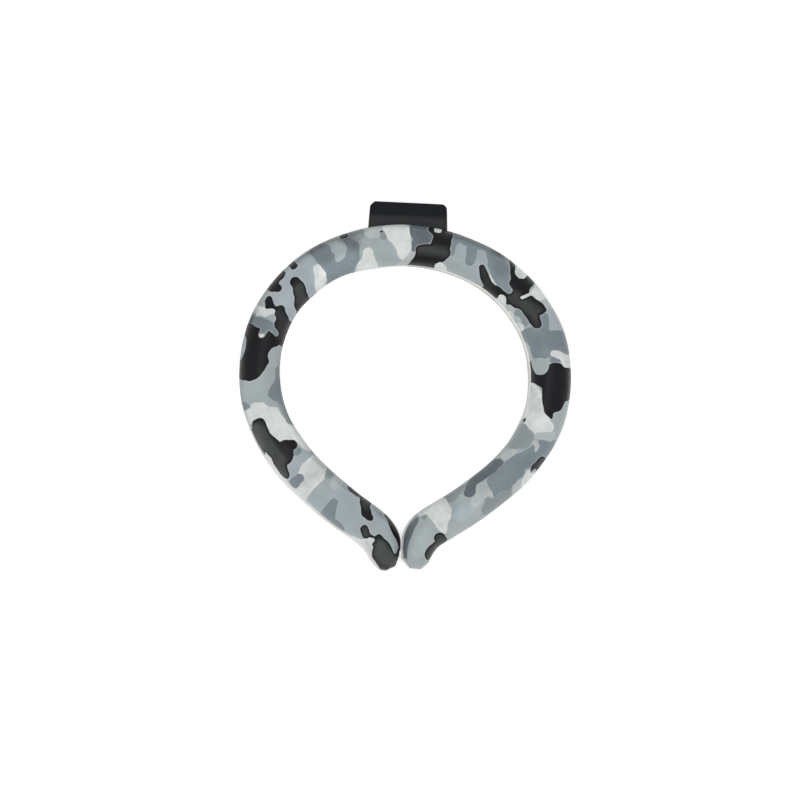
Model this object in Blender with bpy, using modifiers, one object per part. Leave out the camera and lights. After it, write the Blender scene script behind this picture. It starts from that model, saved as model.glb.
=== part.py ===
"""Cooling neck ring: a tube welded from two formed films round a solid cooling filling, open at the front.

The ring lies flat on z = 0 with the nape at +Y and the two tips at -Y. Its box is centred on the origin
in plan. The two films meet in a narrow weld margin at half height, and a tab hangs from the margin at the
nape. Lengths are in metres.
"""

import math

import bmesh
import bpy
import numpy as np

MM = 0.001

# The ring over its weld margins
RING_WIDTH = 160.0 * MM
RING_LENGTH = 165.4 * MM
TIP_GAP = 1.4 * MM

# The tube without its margins
TUBE_WIDTH = 18.4 * MM
TUBE_HEIGHT = 19.0 * MM
TIP_WIDTH = 13.6 * MM
TIP_HEIGHT = 15.4 * MM
TIP_TAPER = 13.0 * MM
REST_STRIP = 3.0 * MM

# The films, their weld and the filling
SKIN_WALL = 1.0 * MM
MARGIN_REACH = 0.9 * MM
MARGIN_THICKNESS = 0.6 * MM
WELD_GAP = 0.3 * MM
FILLING_GAP = 0.3 * MM

# The tab at the nape
TAG_WIDTH = 37.1 * MM
TAG_ROOT_WIDTH = 38.2 * MM
TAG_REACH = 11.0 * MM
TAG_THICKNESS = 1.2 * MM
TAG_CORNER = 2.4 * MM
TAG_OFFSET = -1.4 * MM
TAG_GAP = 0.3 * MM
TAG_EDGE = 0.2 * MM

# Facets
HALF_STEPS = 30
TIP_CROWDING = 1.45
DOME_FACETS = 8
SECTION_FACETS = 4
CORNER_FACETS = 5
ROOT_FACETS = 12
SPLINE_READINGS = 600
SHARP_ANGLE = math.radians(60)
SAME_POINT = 0.00001 * MM
SAME_SEAM_POINT = 0.01 * MM

# The tube's middle line on one side of the ring, from tip to nape. A point's distance from the mirror plane is a
# share of the side's distance plus a share of the tip's.
# name, share of the side's, share of the tip's, share of the way from tip to nape
MIDDLE_LINE = (
    ("tip", 0.000, 1.0, 0.000),
    ("bend", 0.064, 1.0, 0.064),
    ("arm", 0.246, 1.0, 0.132),
    ("jaw", 0.737, 0.0, 0.281),
    ("shoulder", 0.959, 0.0, 0.457),
    ("side", 0.993, 0.0, 0.633),
    ("nape_side", 0.850, 0.0, 0.809),
    ("nape_turn", 0.538, 0.0, 0.941),
    ("nape", 0.000, 0.0, 1.000),
)

# How the tube's section grows from a tip.
# name, share of the taper's length, share of the way from the tip's size to the full size
TIP_SWELL = (
    ("tip", 0.0, 0.00),
    ("swell", 0.5, 0.65),
    ("full", 1.0, 1.00),
)

# Where the ring's plan stands, so that the whole box is centred on the origin
TOTAL_LENGTH = RING_LENGTH + TAG_REACH
FRONT_Y = -TOTAL_LENGTH / 2
NAPE_EDGE_Y = FRONT_Y + RING_LENGTH
WELD_Z = TUBE_HEIGHT / 2

# name, sRGB colour, roughness
FINISHES = {
    "upper_skin": ((0.62, 0.67, 0.69), 0.42),
    "lower_skin": ((0.55, 0.60, 0.63), 0.42),
    "cooling_filling": ((0.90, 0.92, 0.92), 0.55),
    "back_tag": ((0.06, 0.06, 0.07), 0.60),
}


def clear_scene():
    for obj in list(bpy.data.objects):
        bpy.data.objects.remove(obj, do_unlink=True)


def natural_spline(points, shares):
    """A curve through all the points with no sudden change of curvature, read at these shares of its length."""
    knots = np.concatenate([[0.0], np.cumsum(np.linalg.norm(np.diff(points, axis=0), axis=1))])
    spans = np.diff(knots)
    count = len(points)
    system = np.eye(count)
    bends = np.zeros((count, 2))
    slopes = np.diff(points, axis=0) / spans[:, None]
    for row in range(1, count - 1):
        system[row, row - 1 : row + 2] = spans[row - 1], 2 * (spans[row - 1] + spans[row]), spans[row]
        bends[row] = 6 * (slopes[row] - slopes[row - 1])
    bends = np.linalg.solve(system, bends)
    places = np.linspace(0.0, knots[-1], SPLINE_READINGS)
    span = np.clip(np.searchsorted(knots, places, side="right") - 1, 0, count - 2)
    length = spans[span][:, None]
    after = (places - knots[span])[:, None] / length
    before = 1 - after
    curve = before * points[span] + after * points[span + 1]
    curve += ((before**3 - before) * bends[span] + (after**3 - after) * bends[span + 1]) * length**2 / 6
    travelled = np.concatenate([[0.0], np.cumsum(np.linalg.norm(np.diff(curve, axis=0), axis=1))])
    return np.stack([np.interp(shares * travelled[-1], travelled, curve[:, axis]) for axis in (0, 1)], axis=1)


def middle_line():
    """The +X half of the tube's middle line, from the nape to the tip's centre, and its unit normals outwards."""
    side_x = RING_WIDTH / 2 - MARGIN_REACH - TUBE_WIDTH / 2
    tip_x = TIP_GAP / 2 + MARGIN_REACH + TIP_WIDTH / 2
    tip_y = FRONT_Y + MARGIN_REACH + TIP_WIDTH / 2
    nape_y = NAPE_EDGE_Y - MARGIN_REACH - TUBE_WIDTH / 2
    right = [
        (side_x * of_side + tip_x * of_tip, tip_y + (nape_y - tip_y) * along)
        for _, of_side, of_tip, along in MIDDLE_LINE
    ]
    left = [(-x, y) for x, y in right[-2::-1]]
    near_tip = np.linspace(0.0, 1.0, HALF_STEPS + 1) ** TIP_CROWDING / 2
    line = natural_spline(np.array(right + left), np.concatenate([near_tip, 1 - near_tip[-2::-1]]))
    ahead = np.gradient(line, axis=0)
    ahead /= np.linalg.norm(ahead, axis=1)[:, None]
    outward = np.stack([ahead[:, 1], -ahead[:, 0]], axis=1)
    return line[HALF_STEPS::-1], outward[HALF_STEPS::-1]


def tube_sizes(line):
    """Half width and half height of the tube at each station of the middle line."""
    steps = np.linalg.norm(np.diff(line, axis=0), axis=1)
    to_tip = np.concatenate([np.cumsum(steps[::-1])[::-1], [0.0]])
    places = [place * TIP_TAPER for _, place, _ in TIP_SWELL]
    swell = np.interp(to_tip, places, [share for _, _, share in TIP_SWELL])
    half_width = (TIP_WIDTH + (TUBE_WIDTH - TIP_WIDTH) * swell) / 2
    half_height = (TIP_HEIGHT + (TUBE_HEIGHT - TIP_HEIGHT) * swell) / 2
    return half_width, half_height


def half_outline():
    """Stations round one half of the ring: out along its outer side, round the tip's dome, back along its inner side.

    Each station has the middle line's point that it belongs to, its direction away from it, and the tube's half
    width and half height there.
    """
    line, outward = middle_line()
    half_width, half_height = tube_sizes(line)
    forward = np.array([outward[-1, 1], -outward[-1, 0]])
    turns = np.linspace(0.0, math.pi, DOME_FACETS + 1)[1:-1, None]
    dome = outward[-1] * np.cos(turns) + forward * np.sin(turns)
    last = np.full(len(dome), len(line) - 1)
    stations = np.concatenate([np.arange(len(line)), last, np.arange(len(line))[::-1]])
    directions = np.concatenate([outward, dome, -outward[::-1]])
    return line[stations], directions, half_width[stations], half_height[stations]


def arch(half_width, rise, foot):
    """Distances and heights of an arch from its crest down to its foot: a flat strip, then a quarter ellipse."""
    turns = np.linspace(math.pi / 2, 0.0, SECTION_FACETS + 1)
    flat = REST_STRIP / 2
    reach = flat + (half_width[:, None] - flat) * np.cos(turns)
    height = foot + (rise[:, None] - foot) * np.sin(turns)
    crest = np.zeros((len(half_width), 1))
    return np.hstack([crest, reach]), np.hstack([rise[:, None], height])


def sweep(name, profile, flip):
    """Carries a profile of distances and heights round half of the ring, and mirrors it to the other half."""
    centre, direction, _, _ = half_outline()
    reach, height = profile
    plan = centre[:, None, :] + direction[:, None, :] * reach[:, :, None]
    points = np.concatenate([plan, WELD_Z + height[:, :, None]], axis=2)
    rows, columns = reach.shape
    corner = np.arange(rows * columns).reshape(rows, columns)
    corners = (corner[:-1, :-1], corner[1:, :-1], corner[1:, 1:], corner[:-1, 1:])
    faces = np.stack(corners, axis=-1).reshape(-1, 4)
    if flip:
        faces = faces[:, ::-1]
    mesh = bpy.data.meshes.new(name)
    mesh.from_pydata(points.reshape(-1, 3).tolist(), [], faces.tolist())
    work = bmesh.new()
    work.from_mesh(mesh)
    bmesh.ops.remove_doubles(work, verts=work.verts, dist=SAME_POINT)
    work.to_mesh(mesh)
    work.free()
    obj = bpy.data.objects.new(name, mesh)
    mirror = obj.modifiers.new("other_half", "MIRROR")
    mirror.use_clip = True
    mirror.merge_threshold = SAME_SEAM_POINT
    mesh.shade_smooth()
    return obj


def skin(name, side):
    """One film: a formed arch with its weld margin turned outwards. side is 1 for the upper film, -1 for the lower."""
    _, _, half_width, half_height = half_outline()
    margin_face = WELD_GAP / 2
    margin_back = margin_face + MARGIN_THICKNESS
    outer = arch(half_width, half_height, margin_back)
    inner = arch(half_width - SKIN_WALL, half_height - SKIN_WALL, margin_face)
    edge = (half_width + MARGIN_REACH)[:, None]
    level = np.ones_like(edge)
    reach = np.hstack([outer[0], edge, edge, inner[0][:, ::-1]])
    height = np.hstack([outer[1], level * margin_back, level * margin_face, inner[1][:, ::-1]])
    return sweep(name, (reach, side * height), flip=side < 0)


def filling():
    """The solid filling, inside the films by its gap all round."""
    _, _, half_width, half_height = half_outline()
    inset = SKIN_WALL + FILLING_GAP
    reach, height = arch(half_width - inset, half_height - inset, 0.0)
    full_reach = np.hstack([reach, reach[:, -2::-1]])
    full_height = np.hstack([height, -height[:, -2::-1]])
    return sweep("cooling_filling", (full_reach, full_height), flip=False)


def tag_outline():
    """The tab's plan: a root that follows the tube's outer side, flared sides and two rounded corners."""
    line, outward = middle_line()
    half_width, _ = tube_sizes(line)
    edge = line + outward * (half_width + TAG_GAP)[:, None]
    root_curve = edge[: np.argmax(edge[:, 0]) + 1]
    root_x = TAG_OFFSET + np.linspace(-TAG_ROOT_WIDTH / 2, TAG_ROOT_WIDTH / 2, ROOT_FACETS + 1)
    root = np.stack([root_x, np.interp(np.abs(root_x), root_curve[:, 0], root_curve[:, 1])], axis=1)
    turns = np.linspace(0.0, math.pi / 2, CORNER_FACETS + 1)
    corner_y = NAPE_EDGE_Y + TAG_REACH - TAG_CORNER + TAG_CORNER * np.sin(turns)
    corner_x = TAG_WIDTH / 2 - TAG_CORNER + TAG_CORNER * np.cos(turns)
    right = np.stack([TAG_OFFSET + corner_x, corner_y], axis=1)
    left = np.stack([TAG_OFFSET - corner_x, corner_y], axis=1)[::-1]
    return np.concatenate([root, right, left])


def tag():
    """A flat tab with eased edges, under the lower film's margin."""
    top = WELD_Z - WELD_GAP / 2 - MARGIN_THICKNESS - TAG_GAP
    mesh = bpy.data.meshes.new("back_tag")
    work = bmesh.new()
    corners = [work.verts.new((x, y, top)) for x, y in tag_outline()]
    work.faces.new(corners)
    work.to_mesh(mesh)
    work.free()
    obj = bpy.data.objects.new("back_tag", mesh)
    plate = obj.modifiers.new("plate", "SOLIDIFY")
    plate.thickness = TAG_THICKNESS
    plate.offset = -1.0
    ease = obj.modifiers.new("eased_edges", "BEVEL")
    ease.width = TAG_EDGE
    ease.segments = 1
    ease.limit_method = "ANGLE"
    ease.angle_limit = SHARP_ANGLE
    return obj


def linear(channel):
    return channel / 12.92 if channel <= 0.04045 else ((channel + 0.055) / 1.055) ** 2.4


def finish(obj):
    colour, roughness = FINISHES[obj.name]
    material = bpy.data.materials.new(obj.name)
    material.use_nodes = True
    shader = material.node_tree.nodes["Principled BSDF"]
    shader.inputs["Base Color"].default_value = (*(linear(channel) for channel in colour), 1.0)
    shader.inputs["Roughness"].default_value = roughness
    shader.inputs["Metallic"].default_value = 0.0
    obj.data.materials.append(material)


def main():
    clear_scene()
    ring = bpy.data.collections.new("cooling_neck_ring")
    bpy.context.scene.collection.children.link(ring)
    for obj in (skin("upper_skin", 1), skin("lower_skin", -1), filling(), tag()):
        ring.objects.link(obj)
        finish(obj)


main()
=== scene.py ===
"""Looks for a cooling neck ring: printed film, weld margin, tab, pale floor, soft light and camera.

The ring is a tube of two formed films, bent into an open ring that lies flat. Places on its skin are given by
two measures. Along is the distance along the tube's middle line from the nape, positive towards +X. Across is
the distance round the tube's section from the crest, positive towards the ring's outside.
"""

import math

import bmesh
import bpy
import numpy as np
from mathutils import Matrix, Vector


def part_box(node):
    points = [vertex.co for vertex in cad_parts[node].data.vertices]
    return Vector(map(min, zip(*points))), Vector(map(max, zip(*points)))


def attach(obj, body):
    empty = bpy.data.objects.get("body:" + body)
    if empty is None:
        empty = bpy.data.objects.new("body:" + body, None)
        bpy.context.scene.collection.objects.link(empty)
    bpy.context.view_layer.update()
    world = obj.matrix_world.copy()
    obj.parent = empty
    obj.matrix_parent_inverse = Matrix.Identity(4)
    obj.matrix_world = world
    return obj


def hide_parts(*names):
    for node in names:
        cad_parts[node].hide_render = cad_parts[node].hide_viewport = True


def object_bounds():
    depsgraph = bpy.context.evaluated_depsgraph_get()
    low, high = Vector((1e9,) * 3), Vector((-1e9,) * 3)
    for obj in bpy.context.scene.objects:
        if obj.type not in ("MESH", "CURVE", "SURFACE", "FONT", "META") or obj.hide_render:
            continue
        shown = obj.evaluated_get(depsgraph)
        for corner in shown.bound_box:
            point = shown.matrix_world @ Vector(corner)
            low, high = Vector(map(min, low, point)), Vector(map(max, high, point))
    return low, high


bl_info = {
    "name": "Cooling Neck Ring",
    "version": (1, 0, 0),
    "blender": (4, 5, 0),
    "location": "3D View > Sidebar > Neck Ring",
    "description": "Dresses a cooling neck ring in printed film, with its weld margin, tab, floor and light",
    "category": "Object",
}

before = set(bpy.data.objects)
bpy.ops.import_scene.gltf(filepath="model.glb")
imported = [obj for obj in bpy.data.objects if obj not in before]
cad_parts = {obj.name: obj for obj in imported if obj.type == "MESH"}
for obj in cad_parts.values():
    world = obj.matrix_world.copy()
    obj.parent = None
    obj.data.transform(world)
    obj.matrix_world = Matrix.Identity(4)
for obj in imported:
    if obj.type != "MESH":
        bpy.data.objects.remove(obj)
CAD_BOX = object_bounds()
FILM_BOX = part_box("upper_skin")
TAB_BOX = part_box("back_tag")
MM = 0.001
# Height of the weld's plane
WELD_Z = (CAD_BOX[0].z + CAD_BOX[1].z) / 2

# The middle line on one side, as the films are formed on it. A point's distance from the mirror plane is a share
# of the side's distance plus a share of the tip's.
# name, share of the side's, share of the tip's, share of the way from tip to nape
MIDDLE_LINE = (
    ("tip", 0.000, 1.0, 0.000),
    ("bend", 0.064, 1.0, 0.064),
    ("arm", 0.246, 1.0, 0.132),
    ("jaw", 0.737, 0.0, 0.281),
    ("shoulder", 0.959, 0.0, 0.457),
    ("side", 0.993, 0.0, 0.633),
    ("nape_side", 0.850, 0.0, 0.809),
    ("nape_turn", 0.538, 0.0, 0.941),
    ("nape", 0.000, 0.0, 1.000),
)

# The trimmed outline all round, and how much of the weld shows bare inside it. Where none does, the print runs out
# to the edge. In mm from the middle line.
# share of the way from the nape to a tip (negative on the -X side), outer edge, outer weld, inner edge, inner weld
TRIM = (
    (-1.000, 7.30, 0.4, 7.75, 0.0),
    (-0.995, 7.40, 0.9, 8.60, 0.0),
    (-0.985, 7.90, 1.3, 9.70, 0.0),
    (-0.975, 8.20, 1.3, 10.30, 0.0),
    (-0.960, 9.10, 1.3, 10.50, 0.0),
    (-0.940, 9.55, 1.3, 10.40, 0.0),
    (-0.920, 9.70, 1.3, 10.05, 0.0),
    (-0.880, 10.00, 1.2, 10.10, 0.0),
    (-0.840, 9.80, 1.3, 10.70, 0.0),
    (-0.800, 9.50, 1.3, 10.75, 0.0),
    (-0.765, 9.70, 1.2, 10.65, 0.0),
    (-0.725, 10.10, 1.2, 10.40, 0.0),
    (-0.690, 10.35, 1.4, 10.50, 0.0),
    (-0.655, 10.10, 0.9, 10.20, 0.0),
    (-0.615, 10.00, 0.8, 9.85, 0.0),
    (-0.580, 10.10, 0.6, 9.95, 0.0),
    (-0.540, 9.90, 0.0, 9.95, 0.0),
    (-0.480, 9.65, 0.0, 9.70, 0.0),
    (-0.430, 9.90, 0.0, 9.40, 0.0),
    (-0.370, 10.15, 0.0, 8.95, 0.0),
    (-0.320, 9.90, 0.0, 8.55, 0.0),
    (-0.260, 10.10, 0.0, 8.85, 0.0),
    (-0.200, 10.20, 0.0, 8.45, 0.0),
    (-0.160, 10.25, 0.0, 8.60, 0.0),
    (-0.130, 10.20, 0.0, 9.10, 0.3),
    (-0.090, 10.55, 0.0, 9.60, 0.5),
    (-0.010, 10.65, 0.0, 9.50, 0.7),
    (0.030, 10.25, 0.0, 9.85, 1.0),
    (0.095, 9.75, 0.0, 10.35, 1.3),
    (0.130, 9.30, 0.0, 10.50, 1.3),
    (0.220, 9.25, 0.0, 11.00, 1.7),
    (0.320, 9.35, 0.0, 11.15, 1.6),
    (0.390, 10.10, 0.0, 10.90, 1.6),
    (0.465, 9.95, 0.0, 10.95, 1.7),
    (0.505, 10.05, 0.0, 10.60, 1.2),
    (0.580, 10.50, 0.0, 9.90, 0.8),
    (0.615, 10.50, 0.0, 9.80, 0.8),
    (0.655, 10.25, 0.0, 9.30, 0.5),
    (0.690, 10.30, 0.0, 9.15, 0.0),
    (0.730, 10.00, 0.0, 9.40, 0.0),
    (0.765, 9.40, 0.0, 9.80, 0.0),
    (0.800, 9.25, 0.0, 10.05, 0.0),
    (0.880, 9.30, 0.0, 9.85, 0.0),
    (0.915, 9.40, 0.0, 9.95, 0.0),
    (0.945, 8.80, 0.0, 10.60, 0.6),
    (0.960, 8.30, 0.0, 10.20, 0.9),
    (0.975, 7.90, 0.0, 9.60, 1.0),
    (0.990, 7.50, 0.0, 8.10, 1.0),
    (1.000, 7.35, 0.0, 7.10, 1.0),
)
# The corners of the trimmed outline round each tip: turn from the outer side in degrees, distance from the tip's
# centre in mm
TIP_CORNERS = {
    1: ((0, 7.35), (8, 7.6), (47, 7.75), (89, 7.45), (141, 7.1), (180, 7.1)),
    -1: ((0, 7.3), (30, 7.0), (56, 7.6), (79, 7.6), (119, 7.4), (162, 7.2), (180, 7.75)),
}
# How the -X arm lies against the mirrored form: from this length along it on, more and more, and by this much at its
# tip, in mm
LEAN_FROM = 168.0
LEAN = (1.9, -1.2)

# How far neighbouring blotches of one ink flow together, how round a cut corner is, and a distance where there is no
# ink near, in mm
INK_FLOW = 0.9
CUT_EASE = 0.4
NO_INK = 99.0
# Keeps a chain of one lobe from dividing by nothing, in square mm
LEAST_RUN = 1e-9

# The camouflage, charted in painter's order: each row is one blotch of ink, a chain of round lobes.
# ink, then each lobe's place along the ring from the nape, its place across from the crest, and its radius, in mm
BLOTCHES = (
    # Left tip
    ("white", (-219, 10.5, 5.0), (-212, 10, 4.6), (-204, 11, 5.0), (-198, 12.5, 3.4)),
    ("white", (-210.6, 6, 2.5), (-204.6, 4.2, 2.9)),
    ("black", (-219.6, -0.6, 5.8), (-213.5, 1, 5.2), (-209.4, -0.6, 3.4), (-206.2, -0.8, 2.1)),
    ("black", (-221.6, -2.6, 5.6), (-221.6, 0.8, 4.4)),
    ("black", (-215, -2.8, 2.7), (-210.8, -2.2, 2.2)),
    ("black", (-213.4, 5.2, 1.5)),
    ("black", (-207.8, 2.2, 1.5)),
    ("black", (-219.5, -3, 5.4), (-217.6, -8, 2.4), (-214, -13, 2.4), (-210, -13.6, 3.0), (-206.4, -13.6, 3.7)),
    ("black", (-206, -13.6, 3.5), (-202.6, -14.8, 2.8)),
    ("black", (-223.5, -3.5, 4.0), (-221, -8, 3.2)),
    ("black", (-211.4, -2, 2.8), (-207.6, -0.8, 1.9)),
    ("black", (-204, 1.2, 0.5), (-202, 2.2, 1.1), (-200.6, 3.2, 2.1), (-198.2, 1.8, 1.9)),
    ("black", (-196.1, -4.5, 1.95), (-194.6, -4.9, 2.25), (-191.7, -9.6, 2.5), (-190.5, -15, 2.8)),
    ("black", (-190.5, -14.8, 2.6), (-187.4, -15, 2.4), (-185.6, -14.2, 2.9), (-183.2, -14.2, 2.9)),
    # Left arm
    ("steel", (-187.4, 10.4, 3.4), (-182, 10.4, 4.0), (-181.2, 6.5, 3.1), (-179.8, -0.2, 1.6)),
    ("pale", (-174.8, -7, 2.2), (-175, -14, 3.0)),
    ("grey", (-169.4, -8.6, 1.6), (-169, -14, 2.4)),
    ("white", (-165.5, 12, 4.5), (-164.6, 5, 4.2), (-162.6, -4.4, 6.4), (-161.6, -11, 5.2)),
    ("white", (-163, 13.5, 4.0), (-150, 13.4, 3.8), (-145.2, 12, 4.2)),
    ("white", (-149, -14, 4.6), (-141, -12, 4.8), (-138, -6, 5.4), (-131, -3, 5.0), (-127, -2.2, 5.0)),
    ("white", (-127, -1, 5.0), (-123.8, 1.5, 3.8), (-122.8, 4.4, 3.2), (-124.8, 10, 3.1), (-124.8, 15, 3.2)),
    ("white", (-146, -5, 2.0), (-141, -2, 2.6), (-134, 0.4, 2.6)),
    ("steel", (-160.5, 7.6, 2.3), (-160.5, 2.8, 2.1)),
    ("steel", (-149.8, -4, 1.6), (-149.7, -6, 1.7)),
    ("black", (-154, 7.5, 2.9), (-149, 6, 3.7), (-145, 3.4, 4.4), (-136, 6.7, 5.0), (-131.4, 6.2, 4.6)),
    ("black", (-137.6, 13.6, 5.0), (-134.4, 12.8, 4.4)),
    ("black", (-147, 0.6, 4.3), (-144.8, -1.6, 3.5), (-145.6, -5.2, 2.5)),
    ("black", (-148.8, 1.8, 3.2), (-141.6, 2.6, 2.7)),
    ("black", (-129.6, 4.4, 2.8)),
    ("ground", (-122.5, -7.5, 2.4), (-120.8, -3.4, 2.4)),
    ("ground", (-132.5, -12.5, 3.4), (-124, -13, 4.6), (-112, -13, 4.2)),
    ("grey", (-133, -12.6, 3.2), (-126, -12.2, 3.6), (-121, -9.8, 2.2)),
    ("slate", (-135, -15, 2.0), (-127, -15, 2.2)),
    ("steel", (-117, -7.2, 3.5), (-121.4, -13, 3.4)),
    ("steel", (-116.6, -7.2, 3.4), (-110, -12.4, 3.2)),
    ("steel", (-117, -12, 4.0)),
    ("steel", (-110.6, -13, 4.0), (-104.8, -11.6, 2.8)),
    ("steel", (-119.9, 15, 1.9), (-120, 11, 1.7), (-120.3, 7.6, 0.8)),
    # Left side
    ("black", (-102.4, 13, 6.2), (-102.4, 5, 7.2), (-101.2, 3, 6.2)),
    ("black", (-99, 5, 6.0), (-91, 4.5, 6.0), (-90, 9, 5.4), (-90, 14, 5.4)),
    ("black", (-99, 0, 4.6), (-92, -0.5, 4.0), (-85.5, -6, 5.0), (-79, -6, 4.2), (-77, -4, 3.6), (-73.4, -1.3, 2.4)),
    ("black", (-85, -11, 5.4), (-80.5, -11, 5.0)),
    ("ground", (-95.4, 14.8, 5.3),),
    ("ground", (-96.5, -9, 5.5), (-96, -14, 5.0)),
    ("pale", (-93, -13.5, 2.4)),
    ("ground", (-77, 13, 7.0), (-79, 3, 3.4), (-78.8, 0.2, 2.0)),
    ("steel", (-83.2, 15, 1.6), (-83.2, 8, 1.9), (-83, 2, 2.8), (-82.4, -0.6, 2.1)),
    ("steel", (-83, 1, 2.0), (-87.8, 2, 1.7)),
    ("steel", (-83, -1, 1.9), (-85, -4.9, 1.3)),
    ("white", (-88.4, 2.2, 0.9), (-87.8, 1.4, 0.9)),
    ("white", (-78.4, 15, 1.7), (-78.6, 8, 1.9), (-77.4, 4.4, 2.2), (-75.6, 2.1, 1.5)),
    ("black", (-73.7, 1.4, 0.6), (-73.8, 4.2, 1.6), (-72.5, 6.9, 2.0)),
    ("black", (-75, 5.6, 1.0), (-73, 6.4, 1.6)),
    ("black", (-66.3, 15, 2.6), (-66.4, 9, 2.5), (-65.8, 6.2, 1.8)),
    ("black", (-65, 12.4, 3.6), (-61.5, 11.2, 2.8), (-61.4, 16, 2.8)),
    ("black", (-54.2, 15, 1.6), (-54.2, 8.8, 1.5)),
    ("black", (-58.4, 2.0, 2.3), (-58.6, -0.6, 2.9), (-61, -4.6, 3.5), (-64, -9.6, 5.0), (-64.8, -14, 5.6)),
    # Left of the nape
    ("steel", (-40, 12, 5.6), (-41.2, 4, 3.8), (-38, -5, 6.0), (-38, -12, 9.0)),
    ("steel", (-34, -6, 5.0), (-28.6, -2, 3.6), (-26.8, 3, 3.0), (-28.4, 7, 2.3)),
    ("ground", (-35, 15, 4.0), (-33.8, 9, 2.8), (-32.4, 4, 3.0), (-35.4, -0.3, 1.6)),
    ("ground", (-32.4, 2.6, 2.2),),
    ("ground", (-34, 0.2, 1.7), (-32.4, 0.6, 1.4)),
    ("white", (-46.2, 0.1, 2.1), (-46.8, -3.5, 2.9), (-50, -8, 3.0), (-51, -13, 3.2)),
    ("black", (-29.2, 15, 1.7), (-29.2, 11.4, 1.6)),
    ("grey", (-24.2, 14, 3.6), (-23.6, 8.6, 2.9)),
    ("pale", (-16.4, 14, 4.2), (-16.4, 8.6, 3.5)),
    ("white", (-20.4, -1.6, 2.4), (-20.8, -4.5, 3.2), (-22.4, -9.5, 5.6), (-23, -14, 7.2)),
    ("white", (-6.6, 13, 5.6), (-5.2, 6, 5.4), (-3, 0, 3.7), (-3.2, -4.3, 2.6)),
    ("pale", (1.2, -3.6, 1.6), (-1, -6.8, 1.6), (-3.4, -11, 3.0)),
    ("grey", (-12.6, 8, 0.9), (-12.3, 5.4, 1.5)),
    ("black", (-13, 9.6, 0.6), (-12.9, 8.9, 0.6)),
    # Right of the nape
    ("slate", (4.8, 14, 5.1), (5, 8, 5.2), (5.8, 5.4, 4.4), (3, 1.5, 2.2), (2, -1.2, 1.0)),
    ("steel", (28.2, 7, 2.1), (30, -0.6, 2.4)),
    ("steel", (20, 12, 5.4), (25.4, 12.4, 6.6), (29, 12.4, 6.6), (34, 12.8, 5.6), (37, 13, 4.6)),
    ("steel", (20, 9, 2.4), (20.2, 4, 1.4), (20.6, -0.4, 1.0)),
    ("black", (14.8, 14, 3.9), (14.7, 7, 4.2), (14.3, 1, 4.6)),
    ("black", (8.3, -4, 5.0), (14.1, -1.8, 4.8), (16.8, -1, 3.0)),
    ("black", (5.3, -1.2, 2.3), (8.4, -0.6, 2.4)),
    ("black", (8, -6, 5.5), (6.2, -13, 7.4)),
    ("black", (9.8, 15, 2.0), (9.6, 10.6, 1.7), (11.4, 8.6, 1.6)),
    ("white", (12, 15, 1.7), (12, 11.4, 1.7)),
    ("white", (16, -7.2, 1.3), (16.8, -9.6, 3.0), (17, -14, 4.0)),
    # Right side
    ("steel", (88, 14, 5.0), (87, 6, 5.2), (86, -2, 7.0), (80.6, -5, 5.0), (80, -13, 4.4)),
    ("steel", (87, -3, 6.0), (88.6, -5.4, 4.2)),
    ("steel", (74.6, 4, 2.2), (80, 0.6, 2.6)),
    ("black", (57.5, 13, 2.2), (57.5, 7, 2.6), (57, 1, 4.6), (57, -3.6, 4.2)),
    ("black", (55, 1.4, 3.2), (66, 0, 4.3), (73, -1, 2.8), (75.5, -0.9, 2.4)),
    ("black", (67.5, 2.4, 3.4), (70.6, 5.7, 1.9), (70.6, 2.6, 1.9)),
    ("black", (58.6, -4.6, 3.4), (62.6, -2.4, 3.2)),
    ("black", (58.6, -5, 3.0), (58.6, -8, 1.2)),
    ("steel", (40, 14, 5.6), (40.5, 9, 6.0), (42.2, 4.4, 4.9), (45.4, 1, 4.2), (48, -1.6, 3.0), (54, -2.6, 2.0)),
    ("steel", (47.6, 3.4, 3.2), (50.8, 2.2, 1.3)),
    ("black", (36.6, -1.2, 1.5), (40.5, -5, 2.5), (46, -8.4, 3.6), (50, -8.6, 3.8)),
    ("black", (47, -13, 5.0),),
    ("black", (49, -6.6, 1.8), (53.6, -5.6, 1.0), (57, -5.0, 1.4)),
    ("black", (46.2, 12.4, 1.5), (48.6, 7.6, 1.3), (50.6, 5, 1.5), (54, 2.4, 2.4)),
    ("white", (42, -2.6, 0.4), (44.6, -4.2, 0.7), (47.4, -4.6, 0.4)),
    ("white", (64, 14, 3.8), (64.3, 8.4, 3.1), (62.4, 5, 0.9), (61, -0.2, 0.8)),
    ("pale", (70, 13, 2.8), (69.8, 9.4, 2.4)),
    ("white", (52.3, 14, 3.0), (52.5, 8.4, 2.8)),
    ("grey", (67, -7, 2.8), (72, -6, 2.2)),
    ("pale", (61.8, -9.8, 3.0), (61.8, -14, 3.2)),
    ("pale", (69.5, -10, 2.8), (69, -14, 3.0)),
    ("white", (54.6, -8.6, 2.6), (56, -14, 3.6)),
    ("white", (64.6, -13, 2.4)),
    ("white", (73.2, -10.4, 2.4), (73.2, -14.5, 2.8)),
    ("pale", (85, -13.4, 3.2), (91, -13.4, 3.2)),
    ("steel", (95, 4.6, 1.4), (94.6, 1.8, 1.6)),
    ("white", (96, 14, 3.0), (95.6, 9.4, 3.0), (92.8, 6, 1.9), (91.5, 2.4, 1.6)),
    ("black", (105.4, 13, 6.8), (105.4, 5, 7.4), (101.6, 2.4, 5.8)),
    ("black", (110, 3, 7.0), (114, 1.8, 5.3), (117.4, 0.8, 3.2), (121, 3.8, 0.7)),
    ("black", (108.6, 7, 5.0), (114.8, 5.9, 2.8)),
    ("black", (104, -2, 4.6), (103.4, -8, 2.5), (101.5, -13, 4.4), (95.6, -13, 2.2)),
    ("ground", (96.8, -5.2, 4.6)),
    # Right arm
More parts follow.
